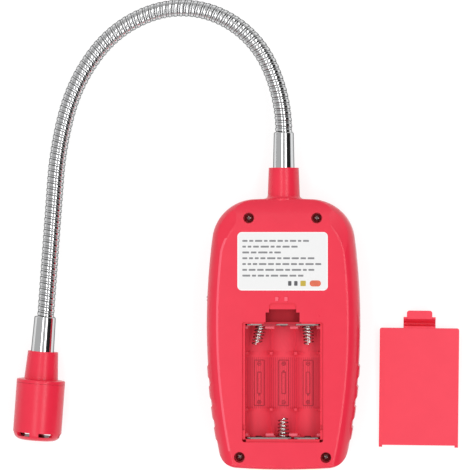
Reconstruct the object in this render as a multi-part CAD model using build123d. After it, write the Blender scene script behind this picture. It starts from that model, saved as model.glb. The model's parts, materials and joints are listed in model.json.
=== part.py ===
from build123d import *
from math import asin, atan2, cos, degrees, radians, sin, sqrt, tan
import os

os.makedirs("parts", exist_ok=True)

# Case
case_width = 68.3
case_length = 120.4
case_depth = 28.0
front_depth = 14.0  # height of the line where the two shells meet
widest_place = 4.3
side_bow = 297.0
end_bow = 300.0
top_corner = 19.5
bottom_corner = 8.9
wall = 2.0
shell_reveal = 0.1  # half of the line between the shells
tongue = 0.9
fit = 0.1

# Back of the case
crease_inset = 5.2
crease_fall = radians(22)  # how steeply the band leaves the flat back at its crease
crease_round = 2.2
arch_inset = 30.2  # from the end of the case to the middle of the flat back's round end
top_fall_length = 14.2
top_fall_radius = 19.8
back_rim = 2.0

# Front of the case
front_rim = 6.0

# Grip
pad_count = 4
pad_pitch = 9.05
first_pad = -16.7
pad_length = 4.6
pad_height = 0.5
pad_slope = 0.8
pad_fade = 0.7

# Collar and case ferrule
collar_wall = 1.95
collar_taper = 0.5
collar_length = 13.8
collar_flare = 1.6
ferrule_wall = 0.65
ferrule_taper = 0.35
ferrule_length = 15.9  # what shows beyond the collar
ferrule_grip = 11.5  # what the collar holds
flange_height = 1.0
flange_width = 2.0
flange_back = 1.0  # from the ferrule's inner end to its flange
lead_bore = 1.7

# Neck
link_length = 31.0
link_turns = (24.7, 39.6, 42.5, 34.2, 23.5, 11.3, 0.0, 0.0)  # degrees that each link curves
neck_radius = 3.8
link_gap = 2.2  # from a pivot to the end of the tube on either side
ball_shoulder = 0.6  # how much smaller a ball is than the tube
ball_clearance = 0.1
neck_socket = 6.0

# Head
head_ferrule_wall = 0.8
head_ferrule_taper = 0.27
head_ferrule_length = 15.7
head_collar_wall = 2.2
head_collar_taper = 0.8
head_collar_length = 12.3
head_radius = 10.9
head_length = 27.7
head_seam = 2.05  # from the shoulder to the line where the cup starts
shoulder_dome = 0.45
shoulder_edge = 0.5
head_corner = 4.2
head_wall = 1.6
window_count = 6
window_arc = 38.0
window_low = 1.8
window_high = 3.5
head_spigot = 4.0
sensor_radius = 8.0
sensor_height = 9.0
sensor_cap_radius = 5.0
sensor_cap_height = 3.6
sensor_board_thickness = 1.2
head_rest = 0.03

# Battery bay
cell_radius = 5.25
cell_length = 44.5
cell_gap = 0.4
cell_float = 0.05
contact_room = 6.7  # for the contacts and springs at both ends
bay_side = 0.35
bay_top = 4.5
bay_wall = 1.3
bay_floor = 15.3
trough_radius = 7.5
saddle_share = (0.26, 0.75)  # where the saddles stand along the bay
saddle_width = 1.2
saddle_drop = 2.0
recess_ledge = 1.3
recess_lip = 0.8
cover_thickness = 1.6
cover_clearance = 0.2
notch_width = 1.7
notch_reach = 1.2
notch_depth = 3.0
side_notch_place = 6.55  # from the recess's lower end to the middle of the notch
side_notch_length = 2.4
side_notch_depth = 1.2

# Latch pocket
pocket_clearance = 0.35
pocket_step = 4.3
pocket_reach = 5.7
pocket_spare = 0.8
ledge_clearance = 0.6
ledge_depth = 1.1
ledge_corner = 1.6

# Contacts
contact_gap = 0.3  # from the bay's end wall to the plate
contact_thickness = 0.35
contact_sink = 0.5  # how far a plate reaches below the saddles' tops
contact_height = 6.9
tab_thickness = 0.8
tab_top = 22.5
middle_tab = 4.1
side_tab = 1.8
plate_reach = 4.8  # from a cell's axis to the plate's outer end
plate_overlap = 0.35
link_start = 1.75
fold_inset = 1.4
bump_radius = 2.0
bump_height = 0.6
spring_radius = 2.05
spring_wire = 0.25
spring_pitch = 1.7
spring_length = 8.2
spring_cone = -3.0

# Screws
top_screw_inset = (15.3, 8.7)  # from the side and from the end of the case
bottom_screw_inset = (9.05, 5.5)
screw_hole_radius = 2.4
screw_head_radius = 1.95
screw_head_height = 1.6
screw_radius = 1.25
screw_seat = 22.0
screw_end = 4.0
boss_radius = 3.5
cross_length = 2.4
cross_width = 0.5
cross_depth = 0.8

# Label
label_width = 40.1
label_height = 25.9
label_place = 32.3
label_corner = 2.0
label_thickness = 0.1
mark_places = (-2.2, 2.0)
mark_row = 15.7
mark_size = 1.2
mark_height = 0.2

# Electronics
board_bottom = 8.0
board_thickness = 1.6
board_inset = 0.6  # from the inside of the wall to the board
standoff_radius = 2.0
standoff_places = ((26.5, -5.0), (-26.5, -5.0), (0.0, -51.0), (0.0, 9.0))
led_count = 6
led_pitch = 5.0
led_first = 18.0
led_radius = 1.5
led_top = 0.3
led_flange = 1.9
led_flange_height = 1.0
panel_width = 22.0
panel_low = 12.0
panel_high = 49.0
panel_corner = 3.0
panel_thickness = 0.5
panel_sink = 0.15
buzzer_radius = 6.0
buzzer_height = 5.6
buzzer_place = (0.0, -30.0)
sound_hole_radius = 0.8
sound_ring = 3.0
sound_holes = 6

# Thumbwheel
wheel_radius = 5.0
wheel_thickness = 2.6
wheel_place = 15.5
wheel_proud = 0.57
wheel_notches = 20
wheel_chamfer = 0.3
notch_radius = 0.4
wheel_slot_gap = 0.4
wheel_shaft = 1.45
shaft_clearance = 0.05
potentiometer_size = (7.4, 9.0, 2.9)

# Battery cover
cover_place = (60.4, -24.3)
cover_turn = -0.55
cover_corner = 0.9
cover_rib_height = 1.3
cover_rib_places = (-12.0, 12.0)
cover_rib_half_width = 15.0
cover_rib_width = 1.0
foot_width = 1.5
foot_length = 1.0
foot_height = 1.2
foot_drop = 0.5  # how far a foot reaches under the plate
latch_leg = 0.8
latch_bend = 1.6
latch_depth = 6.2
latch_half_width = 7.2
latch_lean = 1.8
tab_half_width = 5.7
finger_tab_reach = 3.7
finger_tab_corner = 1.2
table_gap = 0.02


half_length = case_length / 2
ferrule_end_radius = neck_radius + ferrule_wall
ferrule_radius = ferrule_end_radius + ferrule_taper
flange_radius = ferrule_radius + flange_height
collar_end_radius = ferrule_radius + collar_wall
collar_base_radius = collar_end_radius + collar_taper
ball_radius = neck_radius - ball_shoulder
head_ferrule_radius = neck_radius + head_ferrule_wall
head_ferrule_end_radius = head_ferrule_radius + head_ferrule_taper
head_collar_radius = head_ferrule_radius + head_collar_wall
head_collar_end_radius = head_collar_radius + head_collar_taper
arch_centre = half_length - arch_inset
cell_pitch = 2 * cell_radius + cell_gap
cell_places = (-cell_pitch, 0.0, cell_pitch)
cell_axis = bay_floor + cell_radius + cell_float
saddle_top = cell_axis - saddle_drop
bay_half_width = 1.5 * cell_pitch + bay_side
bay_bottom = bay_top - cell_length - contact_room
recess_half_width = bay_half_width + recess_ledge
recess_top = bay_top + recess_lip
recess_bottom = bay_bottom - recess_ledge
latch_reach = 2 * latch_bend + latch_lean - latch_leg + finger_tab_reach
pocket_half_width = latch_half_width + pocket_clearance
pocket_throat_half_width = tab_half_width + pocket_clearance
pocket_floor = case_depth - latch_depth - pocket_spare
ledge_end = recess_top + latch_reach + ledge_clearance


def block(x_low, x_high, y_low, y_high, z_low, z_high):
    middle = Pos((x_low + x_high) / 2, (y_low + y_high) / 2, (z_low + z_high) / 2)
    return middle * Box(x_high - x_low, y_high - y_low, z_high - z_low)


def post(place, z_low, z_high, radius):
    return Pos(place[0], place[1], (z_low + z_high) / 2) * Cylinder(radius, z_high - z_low)


def mirrored(shape):
    return mirror(shape, about=Plane.YZ)


def half_width_at(y):
    return case_width / 2 - side_bow + sqrt(side_bow**2 - (y - widest_place) ** 2)


def case_outline(inset=0.0, tail=0.0):
    # Four large circles cut each other to the bowed outline, and its corners are rounded
    side_shift = case_width / 2 - side_bow
    side = Circle(side_bow - inset)
    end = Circle(end_bow - inset)
    outline = Pos(side_shift, widest_place) * side & Pos(-side_shift, widest_place) * side
    outline = outline & Pos(0, half_length - end_bow) * end
    outline = outline & Pos(0, end_bow - half_length - tail) * end
    outline = fillet(outline.vertices().sort_by(Axis.Y)[2:], top_corner - inset)
    return fillet(outline.vertices().sort_by(Axis.Y)[:2], bottom_corner - inset)


band_radius = crease_inset / (1 - sin(crease_fall))
band_top = case_depth + band_radius * (1 - cos(crease_fall))


def round_top(shape, radius):
    return fillet(shape.faces().sort_by(Axis.Z)[-1].edges(), radius)


def band_form(inset, drop=0.0):
    # A prism with a round upper edge, whose round the flat back cuts at the crease
    height = band_top - max(inset, 0.0) - drop - front_depth
    prism = extrude(case_outline(inset, tail=band_radius + wall), height)
    band = round_top(Pos(0, 0, front_depth) * prism, band_radius - max(inset, 0.0))
    if inset != 0:
        return band
    far = 2 * case_length
    return round_top(band & block(-far, far, -far, far, front_depth, case_depth), crease_round)


def back_form(inset=0.0):
    top = case_depth - inset
    far = case_length
    prism = Pos(0, 0, front_depth) * extrude(case_outline(inset), top - front_depth)
    if inset == 0:
        prism = round_top(prism, back_rim)
    fall_start = half_length - top_fall_length
    fall_axis = Pos(0, fall_start, case_depth - top_fall_radius) * Rot(Y=90)
    fall = fall_axis * Cylinder(top_fall_radius - inset, 2 * far)
    fall = fall + block(-far, far, -far, fall_start, -far, top)
    arch_radius = half_width_at(arch_centre) - crease_inset
    arch_radius = arch_radius - inset * (1 / cos(crease_fall) - 1) / tan(crease_fall)
    spread = (top - front_depth) / tan(crease_fall)
    cone = Cone(arch_radius + spread, arch_radius, top - front_depth)
    if inset == 0:
        cone = round_top(cone, crease_round)
    arch = Pos(0, arch_centre, (top + front_depth) / 2) * cone
    arch = arch + block(-far, far, -far, arch_centre, front_depth, top)
    return prism & band_form(inset) & fall & arch


def front_form(inset=0.0):
    prism = Pos(0, 0, inset) * extrude(case_outline(inset), front_depth - inset)
    return fillet(prism.faces().sort_by(Axis.Z)[0].edges(), front_rim - inset)


def pad_slots():
    # Trapezoids in plan, one for each pad, standing the full depth of the case
    slots = []
    for index in range(pad_count):
        y = first_pad - index * pad_pitch
        edge = half_width_at(y)
        inner = edge - 4 * pad_height
        outer = edge + 2 * pad_height
        lean = pad_slope / pad_height * (outer - edge)
        base = pad_length / 2 + pad_slope * 4
        corners = [(inner, y - base), (outer, y - pad_length / 2 + lean / 2)]
        corners += [(outer, y + pad_length / 2 - lean / 2), (inner, y + base)]
        slot = extrude(make_face(Polyline(corners, close=True)), case_depth)
        slots += [slot, mirrored(slot)]
    return slots


def back_pads():
    band = band_form(-pad_height, pad_fade)
    return [band & slot for slot in pad_slots()]


def front_pads():
    prism = Pos(0, 0, pad_fade) * extrude(case_outline(-pad_height), front_depth - pad_fade)
    band = fillet(prism.faces().sort_by(Axis.Z)[0].edges(), front_rim)
    return [band & slot for slot in pad_slots()]


def screw_places():
    spots = []
    for end, (side_inset, end_inset) in ((1, top_screw_inset), (-1, bottom_screw_inset)):
        y = end * (half_length - end_inset)
        x = half_width_at(y) - side_inset
        spots += [(x, y), (-x, y)]
    return spots


collar_start = half_length
collar_end = collar_start + collar_length
neck_start = collar_end + ferrule_length


def round_piece(points):
    # Turned about the neck's axis from its radius and its place along the case
    outline = make_face(Polyline([(radius, y) for radius, y in points], close=True))
    return Pos(0, 0, front_depth) * revolve(outline, Axis.Y)


def collar():
    base = collar_base_radius
    slope = (collar_base_radius - collar_end_radius) / collar_length
    flare_top = (base - slope * collar_flare, collar_start + collar_flare)
    flare_foot = (base + collar_flare, collar_start)
    inside = collar_start - wall
    edge = Curve() + [
        Line((0, inside), (flare_foot[0], inside)),
        Line((flare_foot[0], inside), flare_foot),
        RadiusArc(flare_foot, flare_top, collar_flare),
        Line(flare_top, (collar_end_radius, collar_end)),
        Line((collar_end_radius, collar_end), (0, collar_end)),
        Line((0, collar_end), (0, inside)),
    ]
    return Pos(0, 0, front_depth) * revolve(make_face(edge), Axis.Y)


flange_place = collar_end - ferrule_grip + flange_back


def case_ferrule():
    start = collar_end - ferrule_grip
    body = round_piece(
        [
            (lead_bore, start),
            (ferrule_radius, start),
            (ferrule_radius, collar_end),
            (ferrule_end_radius, neck_start),
            (neck_radius, neck_start),
            (neck_radius, neck_start - neck_socket),
            (lead_bore, neck_start - neck_socket),
        ]
    )
    flange = [(lead_bore, flange_place), (flange_radius, flange_place)]
    flange += [(flange_radius, flange_place + flange_width), (lead_bore, flange_place + flange_width)]
    return body + round_piece(flange)


def ferrule_room():
    start = collar_end - ferrule_grip
    end = collar_end + 1
    room = round_piece([(0, start), (ferrule_radius, start), (ferrule_radius, end), (0, end)])
    low = flange_place
    high = flange_place + flange_width
    room = room + round_piece([(0, low), (flange_radius, low), (flange_radius, high), (0, high)])
    passage = collar_start - 2 * wall
    return room + round_piece([(0, passage), (2 * lead_bore, passage), (2 * lead_bore, start), (0, start)])


wheel_x = -(half_width_at(wheel_place) + wheel_proud - wheel_radius)


def wheel_room():
    reach = wheel_radius + wheel_slot_gap
    half = wheel_thickness / 2 + wheel_slot_gap
    return post((wheel_x, wheel_place), front_depth - half, front_depth + half, reach)


def tongue_ring(clearance):
    # The tongue stands on the front shell's rim, and its groove is cut in the back shell's
    outer = case_outline(wall - tongue - clearance)
    inner = case_outline(wall + clearance)
    height = tongue + clearance + shell_reveal
    return Pos(0, 0, front_depth - shell_reveal) * extrude(outer - inner, height)


def bay_room():
    room = block(
        -bay_half_width, bay_half_width, bay_bottom, bay_top, saddle_top, case_depth + 1
    )
    middle = (bay_top + bay_bottom) / 2
    for x in cell_places:
        trough = Pos(x, middle, bay_floor + trough_radius) * Rot(X=90)
        trough = trough * Cylinder(trough_radius, bay_top - bay_bottom)
        room = room + trough
    limits = block(
        -bay_half_width, bay_half_width, bay_bottom, bay_top, bay_floor, case_depth + 1
    )
    return room & limits


def saddles():
    ribs = []
    for share in saddle_share:
        y = bay_top + share * (bay_bottom - bay_top)
        rib = block(
            -bay_half_width, bay_half_width, y - saddle_width / 2, y + saddle_width / 2,
            bay_floor - bay_wall / 2, saddle_top,
        )
        for x in cell_places:
            cradle = Pos(x, y, cell_axis) * Rot(X=90)
            rib = rib - cradle * Cylinder(cell_radius, 2 * saddle_width)
        ribs.append(rib)
    return ribs


def contact_tabs():
    # Ribs that hold the contact plates against the bay's end walls
    step = contact_gap + contact_thickness + fit
    low = bay_floor - bay_wall / 2
    tabs = []
    for wall_face, inward in ((bay_top, -1), (bay_bottom, 1)):
        near = wall_face + inward * step
        ends = sorted((near, near + inward * tab_thickness))
        for x_low, x_high in (
            (-bay_half_width - fit, side_tab - bay_half_width),
            (-(cell_pitch + middle_tab) / 2, (middle_tab - cell_pitch) / 2),
            ((cell_pitch - middle_tab) / 2, (cell_pitch + middle_tab) / 2),
            (bay_half_width - side_tab, bay_half_width + fit),
        ):
            tabs.append(block(x_low, x_high, ends[0], ends[1], low, tab_top))
    return tabs


def pocket_room():
    floor = pocket_floor
    top = case_depth + 1
    step = recess_top + pocket_step
    end = recess_top + pocket_reach
    wide = block(-pocket_half_width, pocket_half_width, recess_top, step, floor, top)
    throat = block(-pocket_throat_half_width, pocket_throat_half_width, recess_top, end, floor, top)
    ledge_floor = case_depth - ledge_depth
    ledge = block(
        -pocket_throat_half_width, pocket_throat_half_width, recess_top, ledge_end, ledge_floor, top
    )
    uprights = ledge.edges().filter_by(Axis.Z).sort_by(Axis.Y)[-2:]
    return wide + throat + fillet(uprights, ledge_corner)


recess_floor = case_depth - cover_thickness


def recess_room():
    outline = RectangleRounded(
        2 * recess_half_width, recess_top - recess_bottom, cover_corner + cover_clearance
    )
    middle = Pos(0, (recess_top + recess_bottom) / 2, recess_floor)
    room = middle * extrude(outline, cover_thickness + 1)
    place = recess_bottom + side_notch_place
    half = side_notch_length / 2
    for side in (-1, 1):
        corner = side * recess_half_width
        x_low, x_high = sorted((corner, corner - side * notch_width))
        room = room + block(
            x_low, x_high, recess_bottom, recess_bottom + notch_reach,
            recess_floor - notch_depth, recess_floor,
        )
        x_low, x_high = sorted((corner, corner - side * recess_ledge))
        room = room + block(
            x_low, x_high, place - half, place + half, recess_floor - side_notch_depth, recess_floor
        )
    return room


def back_shell():
    # Hollow shell, with the bay and the latch pocket as tubs under its skin
    outer = back_form()
    core = back_form(wall)
    shell = outer + back_pads() - core
    margin = wall / 2
    tub = block(
        -recess_half_width - bay_wall, recess_half_width + bay_wall,
        recess_bottom - bay_wall, recess_top + bay_wall, bay_floor - bay_wall, case_depth - margin,
    )
    pocket = block(
        -pocket_half_width - bay_wall, pocket_half_width + bay_wall,
        bay_top, ledge_end + bay_wall, pocket_floor - bay_wall, case_depth - margin,
    )
    bosses = [post(spot, front_depth, case_depth, boss_radius) for spot in screw_places()]
    skin = back_form(margin)
    shell = shell + [item & skin for item in [tub, pocket] + bosses]
    half_collar = collar() & block(-20, 20, 0, neck_start, front_depth, case_depth)
    shell = shell + half_collar - ferrule_room()
    shell = shell - bay_room() - recess_room() - pocket_room()
    shell = shell + saddles() + contact_tabs()
    for spot in screw_places():
        shell = shell - post(spot, screw_seat, case_depth + 1, screw_hole_radius)
        shell = shell - post(spot, 0, case_depth, screw_radius + fit)
    rim = case_outline(-1) - case_outline(wall)
    shell = shell - Pos(0, 0, front_depth) * extrude(rim, shell_reveal)
    shell = shell - tongue_ring(fit) - wheel_room()
    for x in mark_places:
        mark = Pos(x, mark_row, case_depth) * Rot(Z=-90) * RegularPolygon(mark_size, 3)
        shell = shell + extrude(mark, mark_height)
    return shell


def front_shell():
    shell = front_form() + front_pads() - front_form(wall)
    bosses = [post(spot, wall / 2, front_depth, boss_radius) for spot in screw_places()]
    bosses = bosses + [post(spot, wall / 2, board_bottom, standoff_radius) for spot in standoff_places]
    skin = front_form(wall / 2)
    shell = shell + [boss & skin for boss in bosses]
    rim = case_outline(-1) - case_outline(wall)
    shell = shell - Pos(0, 0, front_depth - shell_reveal) * extrude(rim, shell_reveal)
    shell = shell + tongue_ring(0)
    half_collar = collar() & block(-20, 20, 0, neck_start, 0, front_depth)
    shell = shell + half_collar - ferrule_room() - wheel_room()
    for spot in screw_places():
        shell = shell - post(spot, screw_end, front_depth + 1, screw_radius)
    shell = shell - panel_outline(fit, -1, panel_thickness + panel_sink)
    for y in led_places():
        shell = shell - post((0, y), -1, wall + 1, led_radius + fit)
    for spot in sound_spots():
        shell = shell - post(spot, -1, wall + 1, sound_hole_radius)
    return shell


def panel_outline(growth, z_low, z_high):
    width = panel_width + 2 * growth
    height = panel_high - panel_low + 2 * growth
    face = Pos(0, (panel_low + panel_high) / 2) * RectangleRounded(width, height, panel_corner)
    return Pos(0, 0, z_low) * extrude(face, z_high - z_low)


def led_places():
    return [led_first + index * led_pitch for index in range(led_count)]


def sound_spots():
    spots = [buzzer_place]
    for index in range(sound_holes):
        angle = radians(index * 360 / sound_holes)
        spots.append((buzzer_place[0] + sound_ring * cos(angle), buzzer_place[1] + sound_ring * sin(angle)))
    return spots


def front_panel():
    panel = panel_outline(0, panel_sink, panel_sink + panel_thickness)
    for y in led_places():
        panel = panel - post((0, y), -1, wall, led_radius + fit)
    return panel


def led(y):
    stem = post((0, y), led_top + led_radius, board_bottom, led_radius)
    dome = Pos(0, y, led_top + led_radius) * Sphere(led_radius)
    flange = post((0, y), board_bottom - led_flange_height, board_bottom, led_flange)
    return stem + dome + flange


def main_board():
    board = Pos(0, 0, board_bottom) * extrude(case_outline(wall + board_inset), board_thickness)
    for spot in screw_places():
        board = board - post(spot, 0, case_depth, boss_radius + board_inset)
    return board


def buzzer():
    low = board_bottom - buzzer_height
    body = post(buzzer_place, low, board_bottom, buzzer_radius)
    return body - post(buzzer_place, low, low + 1, sound_hole_radius)


board_top = board_bottom + board_thickness


def potentiometer():
    width, length, height = potentiometer_size
    outside = half_width_at(wheel_place) - wall - board_inset
    body = block(
        -outside, width - outside, wheel_place - length / 2, wheel_place + length / 2,
        board_top, board_top + height,
    )
    return body - post((wheel_x, wheel_place), board_top, case_depth, wheel_shaft + shaft_clearance)


def thumbwheel():
    low = front_depth - wheel_thickness / 2
    wheel = post((wheel_x, wheel_place), low, low + wheel_thickness, wheel_radius)
    wheel = chamfer(wheel.edges().filter_by(GeomType.CIRCLE), wheel_chamfer)
    for index in range(wheel_notches):
        angle = radians(index * 360 / wheel_notches)
        spot = (wheel_x + wheel_radius * cos(angle), wheel_place + wheel_radius * sin(angle))
        wheel = wheel - post(spot, low, low + wheel_thickness, notch_radius)
    shaft_low = board_top + fit
    return wheel + post((wheel_x, wheel_place), shaft_low, low + 1, wheel_shaft)


def case_screws():
    head = Pos(0, 0, screw_seat + screw_head_height / 2) * Cylinder(screw_head_radius, screw_head_height)
    head = fillet(head.edges().sort_by(Axis.Z)[-1], screw_head_height / 3)
    shank = post((0, 0), screw_end, screw_seat + 0.5, screw_radius)
    top = screw_seat + screw_head_height
    for width, length in ((cross_length, cross_width), (cross_width, cross_length)):
        head = head - Pos(0, 0, top) * Box(width, length, 2 * cross_depth)
    screw = head + shank
    return Compound([Pos(x, y) * screw for x, y in screw_places()])


def label():
    face = Pos(0, label_place) * RectangleRounded(label_width, label_height, label_corner)
    return Pos(0, 0, case_depth) * extrude(face, label_thickness)


def contact_plate(x_low, x_high, at_top, bump_x=None):
    wall_face = bay_top if at_top else bay_bottom
    inward = -1 if at_top else 1
    outer = wall_face + inward * contact_gap
    inner = outer + inward * contact_thickness
    y_low, y_high = sorted((outer, inner))
    low = saddle_top - contact_sink
    top = low + contact_height
    plate = block(x_low, x_high, y_low, y_high, low, top)
    y_low, y_high = sorted((wall_face, inner))
    plate = plate + block(
        x_low + fold_inset, x_high - fold_inset, y_low, y_high, top - contact_thickness, top
    )
    if bump_x is not None:
        cone = Cone(bump_radius, bump_radius / 2, bump_height)
        middle = inner + inward * bump_height / 2
        plate = plate + Pos(bump_x, middle, cell_axis) * Rot(X=-90 * inward) * cone
    return plate


def contact_spring(x, at_top):
    inward = -1 if at_top else 1
    wall_face = bay_top if at_top else bay_bottom
    foot = wall_face + inward * (contact_gap + contact_thickness + spring_wire)
    coil = Helix(spring_pitch, spring_length, spring_radius, cone_angle=spring_cone)
    wire = sweep(Plane(coil @ 0, z_dir=coil % 0) * Circle(spring_wire), coil, is_frenet=True)
    return Pos(x, foot, cell_axis) * Rot(X=-90 * inward) * wire


# The neck is laid out flat, pivot by pivot, and then rolled about the case's axis until the
# head lies on the table
def neck_pivots():
    x, y, heading = 0.0, neck_start, 90.0
    pivots = [(x, y, heading)]
    for turn in link_turns:
        half = radians(turn / 2)
        chord = link_length * (sin(half) / half if turn else 1.0)
        middle = radians(heading) + half
        x = x + chord * cos(middle)
        y = y + chord * sin(middle)
        heading = heading + turn
        pivots.append((x, y, heading))
    return pivots


pivots = neck_pivots()
head_start = pivots[-1]
head_reach = -head_start[0] - cos(radians(head_start[2])) * (
    head_ferrule_length + head_collar_length + head_length
)
neck_roll = degrees(asin((front_depth - head_radius - head_rest) / head_reach))
neck_place = Pos(0, 0, front_depth) * Rot(Y=-neck_roll)


def neck_plane(pivot):
    x, y, heading = pivot
    along = (cos(radians(heading)), sin(radians(heading)), 0)
    return Plane(origin=(x, y, 0), x_dir=(0, 0, 1), z_dir=along)


def tube(plane, turn, length, radius, bore):
    section = plane * (Circle(radius) - Circle(bore))
    if turn == 0:
        return extrude(section, length)
    bend = length / radians(turn)
    heading = atan2(plane.z_dir.Y, plane.z_dir.X)
    centre = (plane.origin.X - bend * sin(heading), plane.origin.Y + bend * cos(heading), 0)
    return revolve(section, Axis(centre, (0, 0, 1)), turn)


def along_arc(pivot, turn, distance):
    # The place and heading at a distance along a link from its first pivot
    x, y, heading = pivot
    part = turn * distance / link_length
    half = radians(part / 2)
    chord = distance * (sin(half) / half if part else 1.0)
    middle = radians(heading) + half
    return (x + chord * cos(middle), y + chord * sin(middle), heading + part)


def neck_link(index):
    turn = link_turns[index]
    first = index == 0
    last = index == len(link_turns) - 1
    start_gap = 0 if first else link_gap
    end_gap = 0 if last else link_gap
    start = along_arc(pivots[index], turn, start_gap)
    length = link_length - start_gap - end_gap
    piece = tube(neck_plane(start), turn * length / link_length, length, neck_radius, lead_bore)
    ring = Circle(neck_radius) - Circle(lead_bore)
    near = neck_plane(pivots[index])
    far = neck_plane(pivots[index + 1])
    if first:
        piece = piece + extrude(near * ring, -neck_socket)
    else:
        ball = near.location * (Sphere(ball_radius) - Cylinder(lead_bore, 3 * ball_radius))
        piece = piece + ball
    if last:
        piece = piece + extrude(far * ring, neck_socket)
    else:
        piece = piece - far.location * Sphere(ball_radius + ball_clearance)
    return neck_place * piece


head_plane = neck_plane(head_start)


def turned_on_head(edge):
    # Turned from an outline given as radius and distance from the end of the neck
    face = make_face(edge)
    stand = Plane(origin=(0, 0, 0), x_dir=(1, 0, 0), z_dir=(0, -1, 0))
    return neck_place * head_plane.location * revolve(stand * face, Axis.Z)


def head_ferrule():
    end = head_ferrule_length
    points = [
        (neck_radius, 0),
        (head_ferrule_radius, 0),
        (head_ferrule_end_radius, end),
        (head_ferrule_radius, end),
        (head_ferrule_radius, end + neck_socket),
        (lead_bore, end + neck_socket),
        (lead_bore, neck_socket),
        (neck_radius, neck_socket),
    ]
    return turned_on_head(Polyline(points, close=True))


collar_place = head_ferrule_length
shoulder_place = collar_place + head_collar_length
seam_place = shoulder_place + head_seam
head_end = shoulder_place + head_length
spigot_end = seam_place + head_spigot
inner_radius = head_radius - head_wall


def head_base():
    low = collar_place
    rise = shoulder_dome
    room = head_ferrule_radius
    edge = Curve() + [
        Line((room, low), (head_collar_radius, low)),
        Line((head_collar_radius, low), (head_collar_end_radius, shoulder_place)),
        Line((head_collar_end_radius, shoulder_place), (head_radius - shoulder_edge, shoulder_place + rise)),
        RadiusArc(
            (head_radius - shoulder_edge, shoulder_place + rise),
            (head_radius, shoulder_place + rise + shoulder_edge),
            -shoulder_edge,
        ),
        Line((head_radius, shoulder_place + rise + shoulder_edge), (head_radius, seam_place - fit)),
        Line((head_radius, seam_place - fit), (inner_radius, seam_place - fit)),
        Line((inner_radius, seam_place - fit), (inner_radius, spigot_end)),
        Line((inner_radius, spigot_end), (inner_radius - head_wall, spigot_end)),
        Line((inner_radius - head_wall, spigot_end), (inner_radius - head_wall, seam_place)),
        Line((inner_radius - head_wall, seam_place), (lead_bore, seam_place)),
        Line((lead_bore, seam_place), (lead_bore, low + neck_socket)),
        Line((lead_bore, low + neck_socket), (room, low + neck_socket)),
        Line((room, low + neck_socket), (room, low)),
    ]
    return turned_on_head(edge)


def head_cup():
    corner = head_corner
    inner_corner = head_corner - head_wall
    floor = head_end - head_wall
    edge = Curve() + [
        Line((inner_radius, seam_place), (head_radius, seam_place)),
        Line((head_radius, seam_place), (head_radius, head_end - corner)),
        RadiusArc((head_radius, head_end - corner), (head_radius - corner, head_end), -corner),
        Line((head_radius - corner, head_end), (0, head_end)),
        Line((0, head_end), (0, floor)),
        Line((0, floor), (inner_radius - inner_corner, floor)),
        RadiusArc((inner_radius - inner_corner, floor), (inner_radius, floor - inner_corner), inner_corner),
        Line((inner_radius, floor - inner_corner), (inner_radius, seam_place)),
    ]
    cup = turned_on_head(edge)
    low = head_end - window_high
    height = window_high - window_low
    reach = 2 * head_radius
    for index in range(window_count):
        middle = (index + 0.5) * 360 / window_count
        start = radians(middle - window_arc / 2)
        end = radians(middle + window_arc / 2)
        corners = [(0, 0), (reach * cos(start), reach * sin(start)), (reach * cos(end), reach * sin(end))]
        wedge = Pos(0, 0, low) * extrude(make_face(Polyline(corners, close=True)), height)
        wedge = wedge - Pos(0, 0, low) * Cylinder(inner_radius - inner_corner - 1, 4 * height)
        cup = cup - neck_place * head_plane.location * wedge
    return cup


sensor_board_place = spigot_end
sensor_place = sensor_board_place + sensor_board_thickness


def on_head(distance, shape):
    return neck_place * head_plane.location * Pos(0, 0, distance) * shape


def sensor_board():
    middle = sensor_board_place + sensor_board_thickness / 2
    return on_head(middle, Cylinder(inner_radius, sensor_board_thickness))


def gas_sensor():
    base = on_head(sensor_place + sensor_height / 2, Cylinder(sensor_radius, sensor_height))
    middle = sensor_place + sensor_height + sensor_cap_height / 2
    return base + on_head(middle, Cylinder(sensor_cap_radius, sensor_cap_height))


def latch():
    # A strip bent into a hairpin, drawn from the side and standing across the cover's end
    edge = cover_length / 2
    bend_y = edge + latch_bend
    bend_z = latch_bend - latch_depth
    near = edge + latch_leg
    root = -cover_thickness / 4
    inner_leg = block(-latch_half_width, latch_half_width, edge, near, bend_z, root)
    side = Plane(origin=(-latch_half_width, 0, 0), x_dir=(0, 1, 0), z_dir=(1, 0, 0))
    ring = Circle(latch_bend) - Circle(latch_bend - latch_leg)
    ring = ring & Pos(0, -latch_bend) * Rectangle(4 * latch_bend, 2 * latch_bend)
    bend = extrude(side * Pos(bend_y, bend_z) * ring, 2 * latch_half_width)
    far = bend_y + latch_bend
    top = -latch_leg
    lean = far + latch_lean
    leg = [(far - latch_leg, bend_z), (far, bend_z), (lean, top), (lean - latch_leg, top)]
    outer_leg = extrude(side * make_face(Polyline(leg, close=True)), 2 * latch_half_width)
    tab_low = lean - latch_leg
    tab_high = tab_low + finger_tab_reach
    finger_tab = block(-tab_half_width, tab_half_width, tab_low, tab_high, top, 0)
    finger_tab = fillet(finger_tab.edges().filter_by(Axis.Z).sort_by(Axis.Y)[-2:], finger_tab_corner)
    return inner_leg + bend + outer_leg + finger_tab


cover_width = 2 * (recess_half_width - cover_clearance)
cover_length = recess_top - recess_bottom - 2 * cover_clearance
cover_span = cover_length + latch_bend + foot_length
foot_low = -cover_thickness - foot_drop
cover_tilt = asin((latch_depth + foot_low) / cover_span)


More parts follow.
